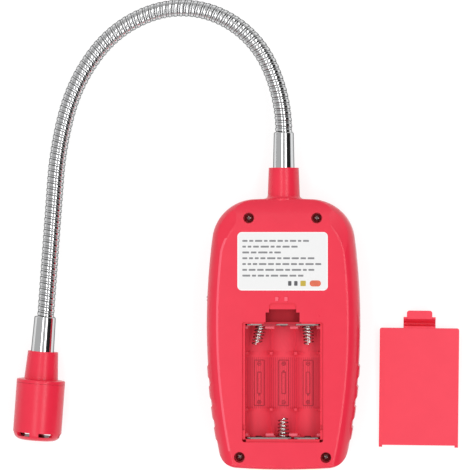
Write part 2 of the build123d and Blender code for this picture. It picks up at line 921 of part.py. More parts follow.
def battery_cover():
    plate = Pos(0, 0, -cover_thickness) * extrude(
        RectangleRounded(cover_width, cover_length, cover_corner), cover_thickness
    )
    cover = plate + latch()
    for side in (-1, 1):
        x_low, x_high = sorted((side * cover_width / 2, side * (cover_width / 2 - foot_width)))
        cover = cover + block(
            x_low, x_high, -cover_length / 2 - foot_length, foot_width - cover_length / 2,
            foot_low, foot_low + foot_height,
        )
    for y in cover_rib_places:
        rib = block(
            -cover_rib_half_width, cover_rib_half_width, y - cover_rib_width / 2,
            y + cover_rib_width / 2, -cover_thickness - cover_rib_height, -cover_thickness,
        )
        cover = cover + rib
    foot_y = -cover_length / 2 - foot_length
    height = table_gap - foot_y * sin(cover_tilt) - foot_low * cos(cover_tilt)
    place = Pos(cover_place[0], cover_place[1], height)
    return place * Rot(Z=cover_turn) * Rot(X=degrees(cover_tilt)) * cover


plate_end = cell_pitch + plate_reach
pieces = {
    "back_shell": back_shell(),
    "front_shell": front_shell(),
    "front_panel": front_panel(),
    "label": label(),
    "case_screws": case_screws(),
    "main_board": main_board(),
    "buzzer": buzzer(),
    "potentiometer": potentiometer(),
    "thumbwheel": thumbwheel(),
    "contact_pack_negative": contact_plate(-plate_end, plate_overlap - cell_pitch / 2, True),
    "contact_link_top": contact_plate(link_start - cell_pitch / 2, plate_end, True, 0),
    "contact_link_bottom": contact_plate(-plate_end, cell_pitch / 2 - link_start, False, -cell_pitch),
    "contact_pack_positive": contact_plate(cell_pitch / 2 - plate_overlap, plate_end, False, cell_pitch),
    "contact_spring_left": contact_spring(-cell_pitch, True),
    "contact_spring_middle": contact_spring(0, False),
    "contact_spring_right": contact_spring(cell_pitch, True),
    "case_ferrule": case_ferrule(),
    "head_ferrule": head_ferrule(),
    "head_base": head_base(),
    "head_cup": head_cup(),
    "sensor_board": sensor_board(),
    "gas_sensor": gas_sensor(),
    "battery_cover": battery_cover(),
}
for index, y in enumerate(led_places()):
    pieces[f"led_{index + 1}"] = led(y)
for index in range(len(link_turns)):
    pieces[f"neck_link_{index + 1}"] = neck_link(index)

for name, piece in pieces.items():
    export_step(piece, f"parts/{name}.step")
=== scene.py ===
import json
import random
from math import acos, cos, pi, radians, sin, tan

import bmesh
import bpy
from mathutils import Matrix, Vector
from mathutils.bvhtree import BVHTree

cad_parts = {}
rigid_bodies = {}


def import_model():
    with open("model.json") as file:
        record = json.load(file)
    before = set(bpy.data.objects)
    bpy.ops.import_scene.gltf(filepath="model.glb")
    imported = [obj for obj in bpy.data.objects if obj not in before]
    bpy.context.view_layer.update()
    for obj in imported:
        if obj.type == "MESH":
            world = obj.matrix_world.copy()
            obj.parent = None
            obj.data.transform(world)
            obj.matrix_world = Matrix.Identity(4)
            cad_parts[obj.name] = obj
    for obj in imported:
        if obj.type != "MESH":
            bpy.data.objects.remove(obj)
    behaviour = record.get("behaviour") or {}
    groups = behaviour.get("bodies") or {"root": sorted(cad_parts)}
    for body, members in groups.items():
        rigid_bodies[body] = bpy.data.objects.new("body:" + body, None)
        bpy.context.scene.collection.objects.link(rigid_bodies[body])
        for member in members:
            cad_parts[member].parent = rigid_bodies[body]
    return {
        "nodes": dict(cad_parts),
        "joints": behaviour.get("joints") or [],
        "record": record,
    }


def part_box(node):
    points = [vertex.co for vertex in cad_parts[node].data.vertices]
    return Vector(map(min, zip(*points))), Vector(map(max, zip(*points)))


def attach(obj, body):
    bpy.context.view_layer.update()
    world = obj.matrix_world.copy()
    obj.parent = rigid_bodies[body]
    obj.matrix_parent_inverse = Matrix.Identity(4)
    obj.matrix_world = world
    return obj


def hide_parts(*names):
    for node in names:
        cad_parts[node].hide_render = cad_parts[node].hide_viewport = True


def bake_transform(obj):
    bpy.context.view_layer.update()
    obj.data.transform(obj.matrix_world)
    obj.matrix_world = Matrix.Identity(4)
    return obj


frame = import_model()
nodes = frame["nodes"]
joints = frame["joints"]
scene = bpy.context.scene
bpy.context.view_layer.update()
mm = 0.001
print("frame loaded", len(nodes), "nodes")


def newObject(name, data):
    made = bpy.data.objects.new(name, data)
    scene.collection.objects.link(made)
    return made


# Shaders

def newShader(name, settings):
    material = bpy.data.materials.new(name)
    material.use_nodes = True
    surface = material.node_tree.nodes["Principled BSDF"]
    surface.inputs["Base Color"].default_value = (*settings["color"], 1)
    surface.inputs["Roughness"].default_value = settings["rough"]
    surface.inputs["Metallic"].default_value = settings.get("metal", 0.0)
    surface.inputs["IOR"].default_value = settings.get("ior", 1.5)
    edge = settings.get("edge", 1.0)  # how bright metal stays at a grazing look
    surface.inputs["Specular Tint"].default_value = (edge, edge, edge, 1)
    return material, surface


def addNode(material, kind, **values):
    node = material.node_tree.nodes.new(kind)
    for key, value in values.items():
        if key in node.inputs:
            node.inputs[key].default_value = value
        else:
            setattr(node, key, value)
    return node


def wire(material, start, end):
    material.node_tree.links.new(start, end)


def placeNode(material):
    found = material.node_tree.nodes.get("Place")
    if found is None:
        found = material.node_tree.nodes.new("ShaderNodeTexCoord")
        found.name = "Place"
    return found


def objectPoint(material):
    return placeNode(material).outputs["Object"]


def addNoise(material, size):
    noise = addNode(material, "ShaderNodeTexNoise", Scale=1 / size)
    wire(material, objectPoint(material), noise.inputs["Vector"])
    return noise.outputs["Fac"]


def addBump(material, surface, height, depth):
    bump = addNode(material, "ShaderNodeBump", Distance=depth)
    wire(material, height, bump.inputs["Height"])
    wire(material, bump.outputs["Normal"], surface.inputs["Normal"])


def remap(material, value, start=(0.0, 1.0), end=(0.0, 1.0), smooth=False):
    # moves a value from the span start to the span end
    node = addNode(material, "ShaderNodeMapRange", interpolation_type="SMOOTHSTEP" if smooth else "LINEAR")
    for key, number in zip(("From Min", "From Max", "To Min", "To Max"), (*start, *end)):
        node.inputs[key].default_value = number
    wire(material, value, node.inputs["Value"])
    return node.outputs["Result"]


def times(material, first, second):
    product = addNode(material, "ShaderNodeMath", operation="MULTIPLY")
    wire(material, first, product.inputs[0])
    if isinstance(second, bpy.types.NodeSocket):
        wire(material, second, product.inputs[1])
    else:
        product.inputs[1].default_value = second
    return product.outputs[0]


def varyColor(material, surface, fac, dark, light):
    ramp = addNode(material, "ShaderNodeValToRGB")
    for element, position, color in zip(ramp.color_ramp.elements, (0.3, 0.7), (dark, light)):
        element.position = position
        element.color = (*color, 1)
    wire(material, fac, ramp.inputs["Fac"])
    wire(material, ramp.outputs["Color"], surface.inputs["Base Color"])
    return ramp.outputs["Color"]


def varyRough(material, surface, fac, low, high):
    rough = remap(material, fac, end=(low, high))
    wire(material, rough, surface.inputs["Roughness"])
    return rough


plastic = {
    "color": (0.84, 0.026, 0.062),
    "dark": (0.83, 0.025, 0.061),
    "light": (0.855, 0.027, 0.064),
    "cloud": 9 * mm,
    "rough": 0.29,
    "roughSpan": (-0.03, 0.04),
    "patch": 3 * mm,
    "ior": 1.46,
    "grain": 0.3 * mm,
    "depth": 0.006 * mm,
}
hollows = {
    "soft": 0.4 * mm,
    "rough": 0.66,
    # partly a duller, greyer finish of the bay and partly painted shade: its red is a little darker than the
    # case's
    "bay": {
        "color": (0.8, 0.042, 0.076),
        "low": (-17.4 * mm, -51.5 * mm, 0),
        "high": (17.4 * mm, 4.4 * mm, 25.5 * mm),
    },
    # painted shade: the latch recess's red is darkened, as shade falls in it
    "pocketShade": {
        "color": (0.52, 0.005, 0.022),
        "low": (-8.3 * mm, 4.4 * mm, 0),
        "high": (8.3 * mm, 11.2 * mm, 26.6 * mm),
    },
    # painted highlight: a paler red band along the left edge where the back's flat top meets its slope
    "crease": {
        "color": (1.0, 0.19, 0.26),
        "low": (-36 * mm, -52 * mm, 27.7 * mm),
        "high": (-20 * mm, 42.5 * mm, 27.98 * mm),
        "soft": 0.04 * mm,
        "strength": 0.5,
    },
    "lines": {
        "color": (0.5, 0.018, 0.042),
        "low": (-16.6 * mm, -33.6 * mm, 0),
        "high": (16.6 * mm, -10.7 * mm, 21 * mm),
        "pitch": 0.95 * mm,
        "strength": 0.6,
    },
}


def boxMask(material, low, high, soft):
    # 1 inside a box of the part's own frame and 0 outside it
    parts = addNode(material, "ShaderNodeSeparateXYZ")
    wire(material, objectPoint(material), parts.inputs[0])
    mask = None
    for axis in range(3):
        for edge, inward in ((low[axis], 1), (high[axis], -1)):
            span = (edge - inward * soft / 2, edge + inward * soft / 2)
            step = remap(material, parts.outputs[axis], span, smooth=True)
            mask = step if mask is None else times(material, mask, step)
    return mask


def mixOver(material, fac, under, color):
    mix = addNode(material, "ShaderNodeMix", data_type="RGBA")
    wire(material, fac, mix.inputs[0])
    wire(material, under, mix.inputs[6])  # by number, because the sockets for colours and values share names
    mix.inputs[7].default_value = (*color, 1)
    return mix.outputs[2]


def mixValue(material, fac, under, value):
    mix = addNode(material, "ShaderNodeMix", data_type="FLOAT")
    wire(material, fac, mix.inputs[0])
    wire(material, under, mix.inputs[2])
    mix.inputs[3].default_value = value
    return mix.outputs[0]


def mouldLines(material, lines):
    # fine lines that run along the cell troughs
    parts = addNode(material, "ShaderNodeSeparateXYZ")
    wire(material, objectPoint(material), parts.inputs[0])
    wave = addNode(material, "ShaderNodeMath", operation="SINE")
    wire(material, times(material, parts.outputs["X"], 2 * pi / lines["pitch"]), wave.inputs[0])
    spread = remap(material, wave.outputs[0], (-1.0, 1.0), (0.0, lines["strength"]))
    return times(material, boxMask(material, lines["low"], lines["high"], hollows["soft"]), spread)


def mouldedRed(name, settings, withHollows=True):
    material, surface = newShader(name, settings)
    cloud = addNoise(material, settings["cloud"])
    color = varyColor(material, surface, cloud, settings["dark"], settings["light"])
    addBump(material, surface, addNoise(material, settings["grain"]), settings["depth"])
    low, high = (settings["rough"] + change for change in settings["roughSpan"])
    rough = varyRough(material, surface, addNoise(material, settings["patch"]), low, high)
    if withHollows:
        # the bay gets a duller, greyer finish with a little painted shade, and the latch recess gets painted
        # shade
        for key in ("bay", "pocketShade"):
            hollow = hollows[key]
            mask = boxMask(material, hollow["low"], hollow["high"], hollows["soft"])
            color = mixOver(material, mask, color, hollow["color"])
            rough = mixValue(material, mask, rough, hollows["rough"])
        crease = hollows["crease"]  # a painted highlight along the left edge where the back's flat top meets its slope
        mask = boxMask(material, crease["low"], crease["high"], crease["soft"])
        color = mixOver(material, times(material, mask, crease["strength"]), color, crease["color"])
        lines = hollows["lines"]
        color = mixOver(material, mouldLines(material, lines), color, lines["color"])
        wire(material, color, surface.inputs["Base Color"])
        wire(material, rough, surface.inputs["Roughness"])
    return material


coverPlastic = {
    **plastic,
    "color": (0.9, 0.045, 0.085),
    "dark": (0.89, 0.043, 0.083),
    "light": (0.915, 0.047, 0.088),
    "rough": 0.42,
    "ior": 1.45,
    "depth": 0.008 * mm,
}


def plainShader(name, settings, grain=0.3 * mm, depth=0.01 * mm, spread=0.06, tone=0.07):
    material, surface = newShader(name, settings)
    cloud, patch = 20 * grain, 8 * grain
    low = tuple(c * (1 - tone) for c in settings["color"])
    high = tuple(min(1.0, c * (1 + tone)) for c in settings["color"])
    varyColor(material, surface, addNoise(material, cloud), low, high)
    rough = settings["rough"]
    varyRough(material, surface, addNoise(material, patch), rough - spread, rough + spread)
    addBump(material, surface, addNoise(material, grain), depth)
    return material


chrome = {
    "color": (0.71, 0.715, 0.72),
    "darkShare": 0.97,
    "cloud": 6 * mm,
    "grooveShadeColor": (0.035, 0.035, 0.04),
    "rough": 0.07,
    "roughSpan": (0.05, 0.1),
    "patch": 4 * mm,
    "metal": 1.0,
    "edge": 0.0,
    "grain": 3 * mm,
    "depth": 0.0007 * mm,
}


def chromePlate():
    material, surface = newShader("neckChrome", chrome)
    low = tuple(c * chrome["darkShare"] for c in chrome["color"])
    color = varyColor(material, surface, addNoise(material, chrome["cloud"]), low, chrome["color"])
    # painted shade: the groove mark darkens the chrome in the neck's grooves and in the sleeves' throats
    groove = addNode(material, "ShaderNodeAttribute", attribute_name="groove").outputs["Fac"]
    wire(material, mixOver(material, groove, color, chrome["grooveShadeColor"]), surface.inputs["Base Color"])
    varyRough(material, surface, addNoise(material, chrome["patch"]), *chrome["roughSpan"])
    addBump(material, surface, addNoise(material, chrome["grain"]), chrome["depth"])
    return material


labelPaper = {
    "color": (0.83, 0.83, 0.83),
    "border": (0.92, 0.92, 0.92),
    "borderWidth": 0.5 * mm,
    "borderSoft": 0.1 * mm,
    "cloud": 2 * mm,
    "cloudSpan": (0.9, 1.0),
    "rough": 0.5,
    "grain": 0.1 * mm,
    "depth": 0.002 * mm,
}


def printedPaper():
    material, surface = newShader("labelPaper", labelPaper)
    low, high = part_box("label")
    inset = labelPaper["borderWidth"]
    field = boxMask(material, (low.x + inset, low.y + inset, low.z - inset),
                    (high.x - inset, high.y - inset, high.z + inset), labelPaper["borderSoft"])
    cloud = remap(material, addNoise(material, labelPaper["cloud"]), end=labelPaper["cloudSpan"])
    border = addNode(material, "ShaderNodeRGB").outputs[0]
    border.default_value = (*labelPaper["border"], 1)
    color = mixOver(material, times(material, field, cloud), border, labelPaper["color"])
    wire(material, color, surface.inputs["Base Color"])
    addBump(material, surface, addNoise(material, labelPaper["grain"]), labelPaper["depth"])
    return material


nickel = {
    "color": (0.8, 0.78, 0.75),
    "shade": (0.07, 0.06, 0.06),
    "turn": (0.25, 0.8),  # from the sides' painted shade to the top's colour, by how far a face looks up
    "rough": 0.2,
    "metal": 1.0,
}
dullNickel = {
    "color": (0.33, 0.3, 0.29),
    "shade": (0.05, 0.04, 0.04),
    "turn": (0.1, 0.9),
    "rough": 0.4,
    "metal": 1.0,
}
# the cloud in the sides' painted shade, and the metal's rough patches and grain
sideShadeAndGrain = {
    "paler": 1.6,
    "cloud": 1.5 * mm,
    "roughSpan": (-0.05, 0.08),
    "patch": 2 * mm,
    "grain": 0.4 * mm,
    "depth": 0.004 * mm,
}


def paintedLightMetal(name, settings):
    # painted light: bright on the faces that look up, with painted shade on the sides
    material, surface = newShader(name, settings)
    facing = addNode(material, "ShaderNodeSeparateXYZ")
    wire(material, placeNode(material).outputs["Normal"], facing.inputs[0])
    upward = remap(material, facing.outputs["Z"], settings["turn"], smooth=True)
    paler = tuple(c * sideShadeAndGrain["paler"] for c in settings["shade"])
    side = varyColor(material, surface, addNoise(material, sideShadeAndGrain["cloud"]), paler, settings["shade"])
    wire(material, mixOver(material, upward, side, settings["color"]), surface.inputs["Base Color"])
    low, high = (settings["rough"] + change for change in sideShadeAndGrain["roughSpan"])
    varyRough(material, surface, addNoise(material, sideShadeAndGrain["patch"]), low, high)
    addBump(material, surface, addNoise(material, sideShadeAndGrain["grain"]), sideShadeAndGrain["depth"])
    return material


shaders = {
    "case_red": mouldedRed("mouldedRed", plastic),
    "panel_black": plainShader("panelFilm", {"color": (0.03, 0.03, 0.033), "rough": 0.35}),
    "label_white": printedPaper(),
    "screw_steel": plainShader("screwSteel", {"color": (0.24, 0.17, 0.17), "rough": 0.2, "metal": 1.0},
                               spread=0.03),
    "board_green": plainShader("boardMask", {"color": (0.02, 0.13, 0.05), "rough": 0.4}),
    "part_black": plainShader("partPlastic", {"color": (0.03, 0.03, 0.03), "rough": 0.5}),
    "wheel_grey": plainShader("wheelPlastic", {"color": (0.09, 0.09, 0.095), "rough": 0.5}),
    "led_clear": plainShader("ledResin", {"color": (0.75, 0.75, 0.72), "rough": 0.15}),
    "contact_nickel": paintedLightMetal("contactNickel", nickel),
    "neck_chrome": chromePlate(),
    "sensor_steel": plainShader("sensorSteel", {"color": (0.6, 0.6, 0.6), "rough": 0.3, "metal": 1.0}),
}

slotOf = {
    "panel_black": ["front_panel"],
    "label_white": ["label"],
    "screw_steel": ["case_screws"],
    "board_green": ["main_board", "sensor_board"],
    "part_black": ["buzzer", "potentiometer"],
    "wheel_grey": ["thumbwheel"],
    "sensor_steel": ["gas_sensor"],
}


def finishFor(name):
    for slot, members in slotOf.items():
        if name in members:
            return slot
    if name.startswith("contact_"):
        return "contact_nickel"
    if name.startswith("led_"):
        return "led_clear"
    if name.startswith("neck_link_") or name.endswith("_ferrule"):
        return "neck_chrome"
    return "case_red"


def dressNodes():
    own = {"battery_cover": mouldedRed("coverRed", coverPlastic, withHollows=False)}
    plates = paintedLightMetal("contactPlate", dullNickel)
    own.update({name: plates for name in nodes if name.startswith(("contact_pack_", "contact_link_"))})
    for name, node in nodes.items():
        node.data.materials.clear()
        node.data.materials.append(own.get(name) or shaders[finishFor(name)])


dressNodes()
print("frame dressed")


# Geometry node helpers

def newTree(name, sizes):
    tree = bpy.data.node_groups.new(name, "GeometryNodeTree")
    tree.interface.new_socket("Geometry", in_out="INPUT", socket_type="NodeSocketGeometry")
    for label, value in sizes.items():
        kind = "NodeSocketInt" if isinstance(value, int) else "NodeSocketFloat"
        socket = tree.interface.new_socket(label, in_out="INPUT", socket_type=kind)
        socket.default_value = value
    tree.interface.new_socket("Geometry", in_out="OUTPUT", socket_type="NodeSocketGeometry")
    return tree


def put(tree, kind, inputs=None, **values):
    node = tree.nodes.new(kind)
    for key, value in values.items():
        setattr(node, key, value)
    for key, value in (inputs or {}).items():
        if isinstance(value, bpy.types.NodeSocket):
            tree.links.new(value, node.inputs[key])
        else:
            node.inputs[key].default_value = value
    return node


def calc(tree, operation, *values):
    return put(tree, "ShaderNodeMath", dict(enumerate(values)), operation=operation).outputs[0]


def vector(tree, operation, *values, **named):
    inputs = {**dict(enumerate(values)), **named}
    return put(tree, "ShaderNodeVectorMath", inputs, operation=operation).outputs[0]


def closeTree(tree, geometry, material):
    real = put(tree, "GeometryNodeRealizeInstances", {0: geometry})
    dressed = put(tree, "GeometryNodeSetMaterial", {0: real.outputs[0], "Material": material})
    end = put(tree, "NodeGroupOutput")
    tree.links.new(dressed.outputs[0], end.inputs[0])


def grow(name, base, tree, sizes):
    modifier = base.modifiers.new("grow", "NODES")
    modifier.node_group = tree
    for item in tree.interface.items_tree:
        if item.in_out == "INPUT" and item.name in sizes:
            modifier[item.identifier] = sizes[item.name]
    seen = base.evaluated_get(bpy.context.evaluated_depsgraph_get())
    mesh = bpy.data.meshes.new_from_object(seen)
    base.modifiers.remove(modifier)
    mesh.name = name
    return newObject(name, mesh)


# Neck: a wound tube along the arcs between the pivots

neck = {
    "crest": 3.8 * mm,
    "pitch": 2.65 * mm,
    "wideShare": 0.63,
    "wideDrop": 0.24 * mm,
    "widePower": 6.0,
    "narrowSink": 0.16 * mm,
    "narrowDrop": 0.12 * mm,
    "narrowPower": 4.0,
    "around": 30,
    "perPitch": 24,
    "grooveShare": 0.1,  # half the groove's width, as a share of the pitch
    "grooveSink": 0.24 * mm,
    "faintShare": 0.8,
    "pathStep": 0.25 * mm,
    "straightBelow": 1e-4,
}


def pivotPoints():
    swings = [j for j in joints if j["name"].startswith("neck_")]
    return [Vector(j["pos_m"]) for j in swings], [(j["parent"], j["child"]) for j in swings]


def arcPoints(start, tangent, end):
    # points of the one arc that leaves start along tangent and reaches end, the last tangent and the length
    chord = end - start
    length = chord.length
    lead = chord.normalized()
    half = acos(max(-1.0, min(1.0, tangent.dot(lead))))
    last = (2 * tangent.dot(lead) * lead - tangent).normalized()
    if half < neck["straightBelow"]:
        count = int(length / neck["pathStep"])
        return [start + chord * (i / count) for i in range(count)], last, length
    radius = length / (2 * sin(half))
    side = (lead - tangent * tangent.dot(lead)).normalized()
    arc = 2 * half * radius
    count = int(arc / neck["pathStep"])
    points = []
    for i in range(count):
        turn = 2 * half * i / count
        points.append(start + tangent * (radius * sin(turn)) + side * (radius * (1 - cos(turn))))
    return points, last, arc


def neckPath():
    # the middle line's points, the distances along it of its stops, the pivots, and the hinges' body pairs
    pivots, pairs = pivotPoints()
    socketLow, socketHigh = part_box("case_ferrule")
    here = Vector((0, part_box("neck_link_1")[0].y, (socketLow.z + socketHigh.z) / 2))
    tangent = Vector((0, 1, 0))
    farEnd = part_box("neck_link_8")[0].y
    points = [here]
    stops = [0.0]
    mouth = Vector((0, socketHigh.y, here.z))
    for target in [mouth, *pivots, None]:
        if target is None:  # past the last pivot it runs straight on
            target = here + tangent * ((here.y - farEnd) / -tangent.y)
        more, tangent, arc = arcPoints(here, tangent, target)
        points += more[1:]
        points.append(target)
        stops.append(stops[-1] + arc)
        here = target
    return points, stops, pivots, pairs


def woundTree():
    tree = newTree("woundTube", {
        "Start": 0.0, "End": 1.0, "Rings": 100, "Around": neck["around"], "Pitch": neck["pitch"],
        "Crest": neck["crest"], "Wide Share": neck["wideShare"], "Wide Drop": neck["wideDrop"],
        "Narrow Sink": neck["narrowSink"], "Narrow Drop": neck["narrowDrop"],
        "Groove Share": neck["grooveShare"], "Groove Sink": neck["grooveSink"],
        "Faint Share": neck["faintShare"],
    })

    def minus(first, second):
        return calc(tree, "SUBTRACT", first, second)

    def by(first, second):
        return calc(tree, "MULTIPLY", first, second)

    def over(first, second):
        return calc(tree, "DIVIDE", first, second)

    source = put(tree, "NodeGroupInput").outputs
    along = put(tree, "GeometryNodeSplineParameter").outputs["Length"]
    kept = put(tree, "GeometryNodeCaptureAttribute", {0: source["Geometry"]}, domain="POINT")
    kept.capture_items.new("FLOAT", "Along")
    tree.links.new(along, kept.inputs["Along"])
    cut = put(tree, "GeometryNodeTrimCurve", {0: kept.outputs[0]}, mode="LENGTH")
    tree.links.new(source["Start"], cut.inputs[4])  # by number, because two pairs of sockets share names
    tree.links.new(source["End"], cut.inputs[5])
    even = put(tree, "GeometryNodeResampleCurve", {"Curve": cut.outputs[0], "Count": source["Rings"]})
    upright = put(tree, "GeometryNodeSetCurveNormal", {0: even.outputs[0]}, mode="Z_UP")
    centre = put(tree, "GeometryNodeCaptureAttribute", {0: upright.outputs[0]}, domain="POINT")
    centre.capture_items.new("VECTOR", "Centre")
    tree.links.new(put(tree, "GeometryNodeInputPosition").outputs[0], centre.inputs["Centre"])
    circle = put(tree, "GeometryNodeCurvePrimitiveCircle", {
        "Resolution": source["Around"], "Radius": source["Crest"]})
    turned = put(tree, "GeometryNodeCaptureAttribute", {0: circle.outputs[0]}, domain="POINT")
    turned.capture_items.new("FLOAT", "Turn")
    tree.links.new(put(tree, "GeometryNodeSplineParameter").outputs["Factor"], turned.inputs["Turn"])
    swept = put(tree, "GeometryNodeCurveToMesh", {
        "Curve": centre.outputs[0], "Profile Curve": turned.outputs[0], "Fill Caps": True})
    advance = calc(tree, "ADD", over(kept.outputs["Along"], source["Pitch"]), turned.outputs["Turn"])
    phase = calc(tree, "FRACT", advance)

    def crown(middle, half, power):
        # 0 in the middle of a band and 1 at its edges
        return calc(tree, "POWER", calc(tree, "ABSOLUTE", over(minus(phase, middle), half)), power)

    half = over(source["Wide Share"], 2.0)
    wideTop = minus(source["Crest"], by(crown(half, half, neck["widePower"]), source["Wide Drop"]))
    rest = over(minus(1.0, source["Wide Share"]), 2.0)
    fall = by(crown(minus(1.0, rest), rest, neck["narrowPower"]), source["Narrow Drop"])
    narrowTop = minus(minus(source["Crest"], source["Narrow Sink"]), fall)
    # a groove runs along one edge of the wide band, and a fainter one along the other; the groove mark also
    # paints shade into the chrome there
    toStart = calc(tree, "MINIMUM", phase, minus(1.0, phase))
    toStep = calc(tree, "ABSOLUTE", minus(phase, source["Wide Share"]))
    deep = minus(1.0, over(toStart, source["Groove Share"]))
    faint = by(minus(1.0, over(toStep, source["Groove Share"])), source["Faint Share"])
    groove = calc(tree, "MAXIMUM", calc(tree, "MAXIMUM", deep, faint), 0.0)
    radius = minus(calc(tree, "MAXIMUM", wideTop, narrowTop), by(groove, source["Groove Sink"]))
    here = put(tree, "GeometryNodeInputPosition").outputs[0]
    spoke = vector(tree, "SUBTRACT", here, centre.outputs["Centre"])
    share = over(radius, source["Crest"])
    place = vector(tree, "ADD", centre.outputs["Centre"], vector(tree, "SCALE", spoke, Scale=share))
    formed = put(tree, "GeometryNodeSetPosition", {"Geometry": swept.outputs[0], "Position": place})
    marked = put(tree, "GeometryNodeStoreNamedAttribute", {
        "Geometry": formed.outputs[0], "Name": "groove", "Value": groove}, data_type="FLOAT", domain="POINT")
    smooth = put(tree, "GeometryNodeSetShadeSmooth", {0: marked.outputs[0], "Shade Smooth": True})
    closeTree(tree, smooth.outputs[0], shaders["neck_chrome"])
    return tree


def curveThrough(name, points):
    curve = bpy.data.curves.new(name, "CURVE")
    curve.dimensions = "3D"
    spline = curve.splines.new("POLY")
    spline.points.add(len(points) - 1)
    for point, place in zip(spline.points, points):
        point.co = (*place, 1)
    return newObject(name, curve)


def makeNeck():
    points, stops, _, pairs = neckPath()
    path = curveThrough("neckPath", points)
    tree = woundTree()
    # the stops are the socket's start, the ferrule's mouth, the seven pivots and the far end
    pivotStops = stops[2:-1]
    middles = [(stops[1] + pivotStops[0]) / 2]
    middles += [(a + b) / 2 for a, b in zip(pivotStops, pivotStops[1:])]
    middles += [pivotStops[-1] + (pivotStops[-1] - pivotStops[-2]) / 2]
    edges = [0.0] + middles + [stops[-1]]
    step = neck["pitch"] / neck["perPitch"]
    edges = [round(edge / step) * step for edge in edges]
    links = len(pairs) + 1

    for index, (low, high) in enumerate(zip(edges, edges[1:])):
        piece = grow(f"neck_winding_{index + 1}", path, tree, {
            "Start": low, "End": high, "Rings": int(round((high - low) / step)) + 1})
        if index == 0:
            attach(piece, "case")
        elif index == len(edges) - 2:
            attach(piece, "head")
        else:
            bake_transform(piece)
        if index < links:
            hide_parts(f"neck_link_{index + 1}")
        print(piece.name, len(piece.data.polygons), "faces")
    bpy.data.objects.remove(path)


makeNeck()
print("neck wound")


# Ferrules: turned sleeves at both ends of the neck

ferrule = {
    "lip": 0.6 * mm,
    "lipSteps": 6,
    "gap": 0.1 * mm,
    "throat": 1.2 * mm,
    "shadow": 0.15 * mm,  # how far below the lip the throat's painted shade begins
    "grip": 1.0 * mm,
    "around": 96,
    "sharp": radians(40),
    "tipBand": 0.2 * mm,
    "footBand": 0.05 * mm,
}


def lathe(name, profile, origin, axis, around):
    # profile holds (radius, distance along the axis, groove) all round the wall, and its end joins its start
    axis = axis.normalized()
    side = axis.orthogonal().normalized()
    third = axis.cross(side)
    points, grooves, faces = [], [], []
    for ring, (radius, along, groove) in enumerate(profile):
        low, high = ring * around, (ring + 1) % len(profile) * around
        for step in range(around):
            turn = 2 * pi * step / around
            after = (step + 1) % around
            points.append(origin + axis * along + side * (radius * cos(turn)) + third * (radius * sin(turn)))
            grooves.append(groove)
            faces.append((low + step, low + after, high + after, high + step))
    mesh = bpy.data.meshes.new(name)
    mesh.from_pydata([tuple(point) for point in points], [], faces)
    mesh.attributes.new("groove", "FLOAT", "POINT").data.foreach_set("value", grooves)
    mesh.shade_smooth()
    mesh.set_sharp_from_angle(angle=ferrule["sharp"])
    return newObject(name, mesh)


def sleeveSizes(name, origin, axis, lowest):
    # where along the axis the node's mouth lies, its radius there, where it is widest, and that radius
    axis = axis.normalized()
    spans = []
    for vertex in nodes[name].data.vertices:
        along = (vertex.co - origin).dot(axis)
        if along > lowest:
            spans.append((along, (vertex.co - origin - axis * along).length))
    mouth = max(along for along, radius in spans)
    tip = max(radius for along, radius in spans if along > mouth - ferrule["tipBand"])
    widest = max(radius for along, radius in spans)
    foot = min(along for along, radius in spans if radius > widest - ferrule["footBand"])
    return mouth, tip, foot, widest


def makeFerrule(name, body, node, origin, axis, lowest):
    mouth, tip, foot, widest = sleeveSizes(node, origin, axis, lowest)
    foot -= ferrule["grip"]
    inner = neck["crest"] + ferrule["gap"]
    lipFoot = mouth - ferrule["lip"]
    profile = [(inner, foot, 0.0), (widest, foot, 0.0), (tip, lipFoot, 0.0)]
    reach = tip - inner
    for step in range(1, ferrule["lipSteps"] + 1):
        turn = pi / 2 * step / ferrule["lipSteps"]
        profile.append((inner + reach * cos(turn), mouth - ferrule["lip"] * (1 - sin(turn)), 0.0))
    # the throat's rings carry the groove mark, which paints shade there
    profile += [(inner, mouth - ferrule["shadow"], 1.0), (inner, mouth - ferrule["throat"], 1.0)]
    piece = lathe(name, profile, origin, axis, ferrule["around"])
    piece.data.materials.append(shaders["neck_chrome"])
    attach(piece, body)
    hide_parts(node)


def makeFerrules():
    points, _, pivots, _ = neckPath()
    root = points[0]
    # the flange inside the collar doesn't count, and all of the head's node does
    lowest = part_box("back_shell")[1].y - ferrule["footBand"] - root.y
    makeFerrule("case_sleeve", "case", "case_ferrule", root, Vector((0, 1, 0)), lowest)
    inward = (points[-2] - points[-1]).normalized()
    makeFerrule("head_sleeve", "head", "head_ferrule", pivots[-1], inward, -1.0)


makeFerrules()
print("ferrules turned")


# Raised marks, print and screws

